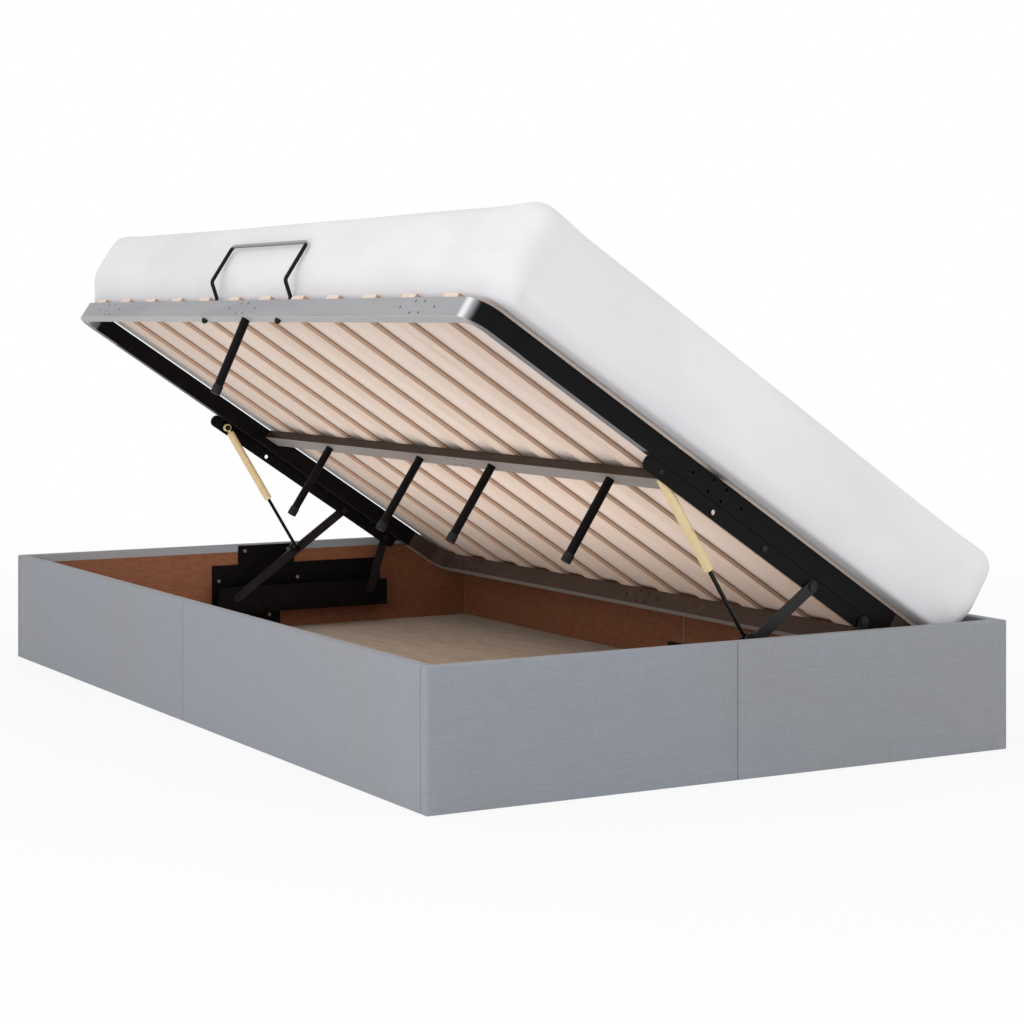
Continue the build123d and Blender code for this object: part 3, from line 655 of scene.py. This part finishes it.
class Wall(Enum):
    """The four walls of the box, by the direction that each faces."""

    FRONT = Vector((-1, 0, 0))
    HINGE_SIDE = Vector((1, 0, 0))
    NEAR_END = Vector((0, -1, 0))
    FAR_END = Vector((0, 1, 0))


class Half(Enum):
    """The eight half panels, with the wall that each belongs to."""

    FRONT_NEAR = ("front_panel_near", Wall.FRONT)
    FRONT_FAR = ("front_panel_far", Wall.FRONT)
    HINGE_NEAR = ("hinge_side_panel_near", Wall.HINGE_SIDE)
    HINGE_FAR = ("hinge_side_panel_far", Wall.HINGE_SIDE)
    NEAR_FRONT = ("end_panel_near_front", Wall.NEAR_END)
    NEAR_HINGE = ("end_panel_near_hinge", Wall.NEAR_END)
    FAR_FRONT = ("end_panel_far_front", Wall.FAR_END)
    FAR_HINGE = ("end_panel_far_hinge", Wall.FAR_END)


class Bench:
    """Modelling steps that the pieces share, with the limits by which places are told apart."""

    SAME = 1e-5
    NEAR = 1e-4
    UPRIGHT = 0.01
    FACING = 0.5
    LEAST_MOVE = 1e-9

    @staticmethod
    def clear() -> None:
        """Leave edit mode and deselect everything."""
        if bpy.context.object and bpy.context.object.mode != "OBJECT":
            bpy.ops.object.mode_set(mode="OBJECT")
        bpy.ops.object.select_all(action="DESELECT")

    @staticmethod
    def cuboid(name: str, low: Vector, high: Vector) -> bpy.types.Object:
        """Add a box between two corners, with its place in its mesh.

        Args:
            name: Name of the object.
            low: Lowest corner.
            high: Highest corner.

        Returns:
            The new object, active and selected.
        """
        Bench.clear()
        bpy.ops.mesh.primitive_cube_add(size=1, location=(low + high) / 2)
        piece = bpy.context.object
        piece.name = name
        piece.data.name = name
        piece.scale = high - low
        bpy.ops.object.transform_apply(location=True, rotation=True, scale=True)
        return piece

    @staticmethod
    def pick_faces(piece: bpy.types.Object, test: Callable[[Vector, Vector], bool]) -> None:
        """Select the faces whose centre and normal pass a test, and enter edit mode.

        Args:
            piece: Object to look through.
            test: Whether a face of this centre and normal is wanted.
        """
        bpy.ops.object.mode_set(mode="EDIT")
        bpy.ops.mesh.select_mode(type="FACE")
        bpy.ops.mesh.select_all(action="DESELECT")
        bpy.ops.object.mode_set(mode="OBJECT")
        for face in piece.data.polygons:
            face.select = test(face.center, face.normal)
        bpy.ops.object.mode_set(mode="EDIT")

    @staticmethod
    def pick_edges(piece: bpy.types.Object, test: Callable[[Vector, Vector], bool]) -> None:
        """Select the edges whose two ends pass a test, and enter edit mode.

        Args:
            piece: Object to look through.
            test: Whether an edge between these two ends is wanted.
        """
        bpy.ops.object.mode_set(mode="EDIT")
        bpy.ops.mesh.select_mode(type="EDGE")
        bpy.ops.mesh.select_all(action="DESELECT")
        bpy.ops.object.mode_set(mode="OBJECT")
        spots = piece.data.vertices
        for edge in piece.data.edges:
            edge.select = test(spots[edge.vertices[0]].co, spots[edge.vertices[1]].co)
        bpy.ops.object.mode_set(mode="EDIT")

    @staticmethod
    def slice(piece: bpy.types.Object, point: Vector, normal: Vector) -> None:
        """Cut the whole mesh by a plane, keeping both sides.

        Args:
            piece: Object to cut, active.
            point: A point of the plane.
            normal: The plane's normal.
        """
        bpy.ops.object.mode_set(mode="EDIT")
        bpy.ops.mesh.select_all(action="SELECT")
        bpy.ops.mesh.bisect(plane_co=point, plane_no=normal)
        bpy.ops.object.mode_set(mode="OBJECT")

    @staticmethod
    def settle(piece: bpy.types.Object, kind: str, **settings: object) -> None:
        """Add a modifier with its settings and apply it.

        Args:
            piece: Object to change.
            kind: Blender's name for the modifier.
            **settings: Properties set on it.
        """
        modifier = piece.modifiers.new(kind.lower(), kind)
        for key, value in settings.items():
            setattr(modifier, key, value)
        bpy.context.view_layer.objects.active = piece
        bpy.ops.object.modifier_apply(modifier=modifier.name)


@dataclass
class PanelCover:
    """Fabric stretched over one half panel and folded down inside its top edge."""

    half: Half
    cloth: float = 0.0009
    fold: float = 0.018
    edge_round: float = 0.0032
    seam_ease: float = -0.00045
    corner_ease: float = 0.0015
    wrap: float = 0.006
    crown: float = 0.0012
    ripple: float = 0.0006
    cell: float = 0.052
    middle_reach: float = 0.3
    least_cut: float = 0.001
    rise_along: float = 9
    rise_up: float = 6
    round_steps: int = 3
    smooth_below: float = math.radians(50)
    ripple_scale: float = 7.0

    def build(self, material: bpy.types.Material) -> bpy.types.Object:
        """Model the cover over its board.

        Args:
            material: Cloth of the cover.

        Returns:
            The finished piece, riding on the box.
        """
        node, wall = self.half.value
        out = wall.value
        run = Vector((abs(out.y), abs(out.x), 0))
        across = Vector((abs(out.x), abs(out.y), 0))
        low, high = self.eased(*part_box(node + "_cover"), run, wall)
        piece = Bench.cuboid(node + "_cloth", low, high)
        inner = (low if out.x + out.y > 0 else high).dot(across)
        Bench.pick_faces(piece, lambda _, normal: min(normal.z, normal.dot(out)) < -Bench.FACING)
        bpy.ops.mesh.delete(type="FACE")
        bpy.ops.object.mode_set(mode="OBJECT")
        begin, end = self.fold_reach(low, high, run, wall)
        for stop in (begin, end):
            if low.dot(run) + self.least_cut < stop < high.dot(run) - self.least_cut:
                Bench.slice(piece, run * stop, run)

        def on_inner_rim(a: Vector, b: Vector) -> bool:
            """Whether an edge is the part of the inner rim that carries the fold.

            Args:
                a: One end.
                b: The other end.

            Returns:
                True where the fold hangs from the edge.
            """
            flat = all(
                max(abs(v.z - high.z), abs(v.dot(across) - inner)) < Bench.SAME for v in (a, b)
            )
            return flat and begin - Bench.NEAR < ((a + b) / 2).dot(run) < end + Bench.NEAR

        Bench.pick_edges(piece, on_inner_rim)
        bpy.ops.mesh.extrude_region_move(TRANSFORM_OT_translate={"value": (0, 0, -self.fold)})
        bpy.ops.object.mode_set(mode="OBJECT")

        def on_corner_edge(a: Vector, b: Vector) -> bool:
            """Whether an edge is the upright inner edge of an end panel's outer corner.

            Args:
                a: One end.
                b: The other end.

            Returns:
                True where the cloth wraps round the corner.
            """
            tips = (low.dot(run), high.dot(run))
            return self.is_end(wall) and abs(a.z - b.z) > Bench.NEAR and all(
                abs(v.dot(across) - inner) < Bench.SAME
                and min(abs(v.dot(run) - tip) for tip in tips) < Bench.SAME
                and abs(v.dot(run)) > self.middle_reach
                for v in (a, b)
            )

        if self.is_end(wall):
            Bench.pick_edges(piece, on_corner_edge)
            inward = run * (self.wrap if begin < -self.middle_reach else -self.wrap)
            bpy.ops.mesh.extrude_region_move(TRANSFORM_OT_translate={"value": inward})
            bpy.ops.object.mode_set(mode="OBJECT")

        def on_crease(a: Vector, b: Vector) -> bool:
            """Whether an edge lies where the cloth turns over the board.

            Args:
                a: One end.
                b: The other end.

            Returns:
                True where the cloth is to be rounded.
            """
            lifted = max(abs(a.z - high.z), abs(b.z - high.z)) < Bench.SAME
            outer = all(abs(v.dot(out) - max(low.dot(out), high.dot(out))) < Bench.SAME for v in (a, b))
            at_end = any(
                all(abs(v.dot(run) - end_at.dot(run)) < Bench.SAME for v in (a, b)) for end_at in (low, high)
            )
            folded = lifted and on_inner_rim(a, b)
            return (outer and (lifted or at_end)) or (lifted and at_end) or folded or on_corner_edge(a, b)

        Bench.pick_edges(piece, on_crease)
        bpy.ops.mesh.bevel(offset=self.edge_round, segments=self.round_steps)
        bpy.ops.object.mode_set(mode="OBJECT")
        self.grid(piece, low, high, run)
        self.fill_out(piece, low, high, out, run)
        Bench.settle(piece, "SOLIDIFY", thickness=self.cloth, offset=-1.0)
        Bench.clear()
        piece.select_set(True)
        bpy.context.view_layer.objects.active = piece
        bpy.ops.object.shade_smooth_by_angle(angle=self.smooth_below)
        piece.data.materials.append(material)
        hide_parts(node + "_cover")
        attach(piece, "base")
        return piece

    @staticmethod
    def is_end(wall: Wall) -> bool:
        """Whether a wall is one of the two ends, whose panels run out to the corners."""
        return wall in (Wall.NEAR_END, Wall.FAR_END)

    def eased(self, low: Vector, high: Vector, run: Vector, wall: Wall) -> tuple[Vector, Vector]:
        """Ease the cover where it meets another: in at a corner, and out to touch at a seam.

        Args:
            low: Lowest corner of the cover.
            high: Highest corner of the cover.
            run: Direction along the panel.
            wall: Wall that the panel belongs to.

        Returns:
            The lowest and highest corners, eased.
        """
        at_corner = 0.0 if self.is_end(wall) else self.corner_ease
        begin = at_corner if low.dot(run) < -self.middle_reach else self.seam_ease
        end = at_corner if high.dot(run) > self.middle_reach else self.seam_ease
        return low + run * begin, high - run * end

    def fold_reach(self, low: Vector, high: Vector, run: Vector, wall: Wall) -> Pair:
        """Where the fold starts and ends along the panel, clear of the wall that meets it.

        Args:
            low: Lowest corner of the cover.
            high: Highest corner of the cover.
            run: Direction along the panel.
            wall: Wall that the panel belongs to.

        Returns:
            Start and end along the panel.
        """
        begin, end = low.dot(run), high.dot(run)
        if self.is_end(wall):
            thickness = high.y - low.y
            if begin < -self.middle_reach:
                begin += thickness
            else:
                end -= thickness
        return begin, end

    def grid(self, piece: bpy.types.Object, low: Vector, high: Vector, run: Vector) -> None:
        """Cut the cloth into cells so that it can fill out.

        Args:
            piece: Cover to cut.
            low: Its lowest corner.
            high: Its highest corner.
            run: Direction along the panel.
        """
        length = (high - low).dot(run)
        count = round(length / self.cell)
        for step in range(1, count):
            Bench.slice(piece, run * (low.dot(run) + length * step / count), run)
        rows = round((high.z - low.z) / self.cell)
        for step in range(1, rows):
            Bench.slice(piece, Vector((0, 0, low.z + (high.z - low.z) * step / rows)), Vector((0, 0, 1)))

    def fill_out(self, piece: bpy.types.Object, low: Vector, high: Vector, out: Vector, run: Vector) -> None:
        """Crown the outer face a little between its edges, with a faint ripple.

        Args:
            piece: Cover to fill out.
            low: Its lowest corner.
            high: Its highest corner.
            out: Direction that the wall faces.
            run: Direction along the panel.
        """
        face = max(low.dot(out), high.dot(out))
        length = (high - low).dot(run)
        for spot in piece.data.vertices:
            if abs(spot.co.dot(out) - face) > Bench.NEAR:
                continue
            along = (spot.co.dot(run) - low.dot(run)) / length
            up = (spot.co.z - low.z) / (high.z - low.z)
            rise = min(1, self.rise_along * along * (1 - along)) * min(1, self.rise_up * up * (1 - up))
            wave = noise.noise(spot.co * self.ripple_scale)
            spot.co += out * rise * (self.crown + self.ripple * wave)


@dataclass
class Mattress:
    """Foam mattress in a knitted cover, flat underneath, with sides drawn in towards the foot."""

    front: float = -0.015
    back: float = 1.204
    wall: float = 0.189
    seat: float = 0.0103
    plan_round: float = 0.046
    top_round: float = 0.037
    front_foot: Pair = (0.038, 1.25)
    hinge_foot: Pair = (0.0245, 0.9)
    end_foot: Pair = (0.016, 1.25)
    foot_rise: float = 0.065
    spread: float = 0.005
    voxel: float = 0.018
    cap: float = 0.009
    spare: float = 0.0015
    undulation: float = 0.0022
    crown: float = 0.005
    round_steps: int = 5
    side_depth: float = 0.10
    held_height: float = 0.004
    hollow_fade: float = 0.06
    hollow_scale: Triple = (4.0, 3.4, 7.0)
    pressure: float = 4.0
    stretch: float = 15.0
    bending: float = 2.0
    frames: int = 20

    def build(self, material: bpy.types.Material) -> bpy.types.Object:
        """Model the mattress flat, fill it and lay it on the raised lid.

        Args:
            material: Knit of the cover.

        Returns:
            The finished piece, riding on the lid.
        """
        low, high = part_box("mattress")
        half = (high.y - low.y) / 2
        piece = self.block(half)
        self.inflate(piece)
        Bench.settle(piece, "SUBSURF", levels=1, render_levels=1)
        self.soften(piece, half)
        Bench.clear()
        piece.select_set(True)
        bpy.context.view_layer.objects.active = piece
        bpy.ops.object.shade_smooth()
        piece.data.transform(LID.matrix())
        piece.data.materials.append(material)
        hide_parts("mattress")
        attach(piece, "lid")
        return piece

    def block(self, half: float) -> bpy.types.Object:
        """Rounded block, a little wider than the mattress, cut to even cells.

        Args:
            half: Half the mattress's length.

        Returns:
            The block, flat in the lid's own frame.
        """
        s = self.spread
        low = Vector((self.front - s, -half - s, self.seat))
        high = Vector((self.back + s, half + s, self.seat + self.wall))
        piece = Bench.cuboid("mattress_cover", low, high)
        Bench.pick_edges(piece, lambda a, b: abs(a.z - b.z) > Bench.UPRIGHT)
        bpy.ops.mesh.bevel(offset=self.plan_round, segments=self.round_steps)
        bpy.ops.object.mode_set(mode="OBJECT")
        Bench.pick_edges(piece, lambda a, b: max(abs(a.z - high.z), abs(b.z - high.z)) < Bench.SAME)
        bpy.ops.mesh.bevel(offset=self.top_round, segments=self.round_steps)
        bpy.ops.object.mode_set(mode="OBJECT")
        piece.data.remesh_voxel_size = self.voxel
        bpy.ops.object.voxel_remesh()
        for spot in piece.data.vertices:
            self.draw_in(spot.co, half)
        return piece

    def draw_in(self, co: Vector, half: float) -> None:
        """Draw a point of the sides in towards the foot, as foam does where it rests.

        Args:
            co: Point, changed in place.
            half: Half the mattress's length.
        """
        middle, reach = (self.front + self.back) / 2, (self.back - self.front) / 2
        for axis, centre, limit in ((0, middle, reach), (1, 0.0, half)):
            away = co[axis] - centre
            foot = self.end_foot if axis else self.hinge_foot if away > 0 else self.front_foot
            near_side = max(0.0, 1 - (limit - abs(away)) / self.side_depth)
            co[axis] -= math.copysign(self.draw_at(foot, co.z) * near_side, away)

    def draw_at(self, foot: Pair, height: float) -> float:
        """Find how far a side is drawn in at a height.

        Args:
            foot: Draw at the foot, and the power that it fades with.
            height: Height over the lid's plane.

        Returns:
            The draw in metres, none above the foot.
        """
        rise = min(1.0, max(0.0, (height - self.seat) / self.foot_rise))
        return foot[0] * (1 - rise) ** foot[1]

    def inflate(self, piece: bpy.types.Object) -> None:
        """Fill the cover by cloth simulation, held where it lies on the slats.

        Args:
            piece: Block to fill, flat in the lid's own frame.
        """
        start = [v.co.copy() for v in piece.data.vertices]
        group = piece.vertex_groups.new(name="on_slats")
        group.add([i for i, co in enumerate(start) if co.z < self.seat + self.held_height], 1.0, "REPLACE")
        modifier = piece.modifiers.new("fill", "CLOTH")
        cloth = modifier.settings
        cloth.use_pressure = True
        cloth.uniform_pressure_force = self.pressure
        cloth.vertex_group_mass = "on_slats"
        cloth.effector_weights.gravity = 0.0
        cloth.tension_stiffness = cloth.compression_stiffness = self.stretch
        cloth.bending_stiffness = self.bending
        scene = bpy.context.scene
        for step in range(1, self.frames + 1):
            scene.frame_set(step)
        filled = piece.evaluated_get(bpy.context.evaluated_depsgraph_get()).data
        ends = [v.co.copy() for v in filled.vertices]
        piece.modifiers.remove(modifier)
        piece.vertex_groups.remove(group)
        scene.frame_set(1)
        for spot, begin, end in zip(piece.data.vertices, start, ends):
            move = end - begin
            spot.co = begin + move * min(1.0, self.cap / max(move.length, Bench.LEAST_MOVE))

    def soften(self, piece: bpy.types.Object, half: float) -> None:
        """Add slow soft hollows, and keep the sides clear of the box when it closes.

        Args:
            piece: Filled cover, flat in the lid's own frame.
            half: Half the mattress's length.
        """
        over_u, over_y, over_w = self.hollow_scale
        for spot in piece.data.vertices:
            co = spot.co
            lift = min(1.0, max(0.0, (co.z - self.seat) / self.hollow_fade))
            drift = noise.noise_vector(Vector((co.x * over_u, co.y * over_y, co.z * over_w)))
            co += drift * self.undulation * lift
            back = self.back + self.spare - self.draw_at(self.hinge_foot, co.z)
            co.x = min(max(co.x, self.front - self.spare), back)
            co.y = min(max(co.y, -half - self.spare), half + self.spare)
            co.z = min(max(co.z, self.seat), self.seat + self.wall + self.crown)


@dataclass
class CarriedNodes:
    """CAD nodes that keep their shape and take a finish from their material slot."""

    slots: dict[str, str]

    def build(self) -> dict[str, bpy.types.Material]:
        """Dress every node that stays, and return the materials by slot.

        Returns:
            Materials by the name of their slot.
        """
        materials = {slot: finish.build(slot) for slot, finish in FINISHES.items()}
        for node, thing in frame["nodes"].items():
            material = materials[self.slots[node]]
            if node in NODE_FINISHES:
                material = NODE_FINISHES[node].build(node + "_coat")
            if not thing.material_slots:
                thing.data.materials.append(material)
            for place in thing.material_slots:
                place.material = material
        log.info("dressed %d nodes with %d finishes", len(frame["nodes"]), len(materials))
        return materials


@dataclass(frozen=True)
class Lamp:
    """Soft lamp: where it stands, the point that it faces, its size in metres and its watts."""

    name: str
    place: Triple
    aim: Triple
    size: float
    power: float
    width: float = 0.0

    def build(self) -> bpy.types.Object:
        """Add the lamp, square unless it has a width, and unseen by the camera.

        Returns:
            The new lamp.
        """
        data = bpy.data.lights.new(self.name, "AREA")
        data.size = self.size
        data.energy = self.power
        if self.width:
            data.shape = "RECTANGLE"
            data.size_y = self.width
        lamp = bpy.data.objects.new(self.name, data)
        bpy.context.scene.collection.objects.link(lamp)
        lamp.location = self.place
        lamp.visible_camera = lamp.visible_glossy = False
        facing = Vector(self.aim) - Vector(self.place)
        lamp.rotation_euler = facing.to_track_quat("-Z", "Y").to_euler()
        return lamp


LAMPS = (
    Lamp("key", (-3.9, -2.7, 3.6), (0, 0.1, 0.4), size=3.4, power=44),
    Lamp("fill", (2.6, -4.6, 1.5), (0.2, 0, 0.3), size=2.6, power=24),
    Lamp("underside", (-3.2, -1.6, 0.35), (-0.1, 0, 0.8), size=2.0, power=27),
    Lamp("upward", (-0.15, 0, 0.06), (-0.2, 0, 1), size=1.7, power=5.0, width=0.7),
)


@dataclass
class Studio:
    """Pale floor, even white surroundings, soft lamps and the camera."""

    surround: float = 0.80
    floor_white: float = 0.86
    camera_place: Triple = (-2.405, -4.299, 0.801)
    camera_turn: float = -28.72
    lens: float = 81.77
    shift: Pair = (0.078, -0.189)
    far_clip: float = 200
    floor_colour: Colour = paint(240, 240, 240)
    floor_side: float = 60
    floor_drop: float = 0.0006
    floor_fade: Pair = (1.2, 4.5)

    def show_white(self, nodes: bpy.types.Nodes, links: bpy.types.NodeLinks) -> Socket:
        """Share of a ray that shows the plain white background.

        Args:
            nodes: Nodes of the tree to add to.
            links: Links of the same tree.

        Returns:
            Value socket, one where the white shows.
        """
        path = nodes.new("ShaderNodeLightPath")
        first = nodes.new("ShaderNodeMath")
        first.operation = "MAXIMUM"
        links.new(path.outputs["Is Camera Ray"], first.inputs[0])
        links.new(path.outputs["Is Glossy Ray"], first.inputs[1])
        last = nodes.new("ShaderNodeMath")
        last.operation = "MAXIMUM"
        links.new(first.outputs[0], last.inputs[0])
        links.new(path.outputs["Is Transmission Ray"], last.inputs[1])
        return last.outputs[0]

    def world(self) -> None:
        """Even white surroundings, plain white where the camera sees them."""
        world = bpy.data.worlds.new("surroundings")
        bpy.context.scene.world = world
        world.use_nodes = True
        nodes, links = world.node_tree.nodes, world.node_tree.links
        back = next(n for n in nodes if n.type == "BACKGROUND")
        back.inputs["Color"].default_value = (1, 1, 1, 1)
        level = nodes.new("ShaderNodeMapRange")
        level.inputs["To Min"].default_value = self.surround
        level.inputs["To Max"].default_value = 1.0
        links.new(self.show_white(nodes, links), level.inputs["Value"])
        links.new(level.outputs["Result"], back.inputs["Strength"])

    def floor(self) -> None:
        """Pale floor that keeps the bed's soft shadow."""
        Bench.clear()
        bpy.ops.mesh.primitive_plane_add(size=self.floor_side, location=(0, 0, -self.floor_drop))
        ground = bpy.context.object
        ground.name = "studio_floor"
        material = bpy.data.materials.new("floor_paint")
        material.use_nodes = True
        nodes, links = material.node_tree.nodes, material.node_tree.links
        shader = next(n for n in nodes if n.type == "BSDF_PRINCIPLED")
        shader.inputs["Base Color"].default_value = self.floor_colour
        shader.inputs["Roughness"].default_value = 0.9
        shader.inputs["Specular IOR Level"].default_value = 0.1
        glow = nodes.new("ShaderNodeEmission")
        mix = nodes.new("ShaderNodeMixShader")
        place = nodes.new("ShaderNodeTexCoord")
        away = nodes.new("ShaderNodeVectorMath")
        away.operation = "LENGTH"
        links.new(place.outputs["Object"], away.inputs[0])
        spread = nodes.new("ShaderNodeMapRange")
        near, far = self.floor_fade
        limits = {"From Min": near, "From Max": far, "To Min": self.floor_white, "To Max": 1.0}
        for key, value in limits.items():
            spread.inputs[key].default_value = value
        links.new(away.outputs["Value"], spread.inputs["Value"])
        share = nodes.new("ShaderNodeMath")
        share.operation = "MULTIPLY"
        links.new(spread.outputs["Result"], share.inputs[1])
        links.new(self.show_white(nodes, links), share.inputs[0])
        links.new(share.outputs[0], mix.inputs[0])
        links.new(shader.outputs[0], mix.inputs[1])
        links.new(glow.outputs[0], mix.inputs[2])
        output = next(n for n in nodes if n.type == "OUTPUT_MATERIAL")
        links.new(mix.outputs[0], output.inputs["Surface"])
        ground.data.materials.append(material)

    def camera(self) -> None:
        """Camera at the photograph's angle, level, with its frame shifted."""
        data = bpy.data.cameras.new("view")
        data.lens = self.lens
        data.shift_x, data.shift_y = self.shift
        data.clip_end = self.far_clip
        camera = bpy.data.objects.new("view", data)
        camera.location = self.camera_place
        camera.rotation_euler = (math.radians(90), 0, math.radians(self.camera_turn))
        bpy.context.scene.collection.objects.link(camera)
        bpy.context.scene.camera = camera

    def build(self) -> None:
        """Set up everything round the bed."""
        bpy.context.scene.view_settings.view_transform = "Standard"
        self.world()
        self.floor()
        for lamp in LAMPS:
            lamp.build()
        self.camera()


def main() -> None:
    """Build the bed's soft pieces, dress the rest and set the studio."""
    logging.basicConfig(level=logging.INFO, format="%(name)s %(message)s", stream=sys.stdout)
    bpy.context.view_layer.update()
    slots = {part["node"]: part["material_slot"] for part in frame["record"]["subparts"]}
    materials = CarriedNodes(slots).build()
    for half in Half:
        piece = PanelCover(half).build(materials["grey_fabric"])
        log.info("cover %s, %d faces", piece.name, len(piece.data.polygons))
    mattress = Mattress().build(materials["mattress_knit"])
    log.info("mattress %s, %d faces", mattress.name, len(mattress.data.polygons))
    Studio().build()
    Bench.clear()


if __name__ == "__main__":
    main()
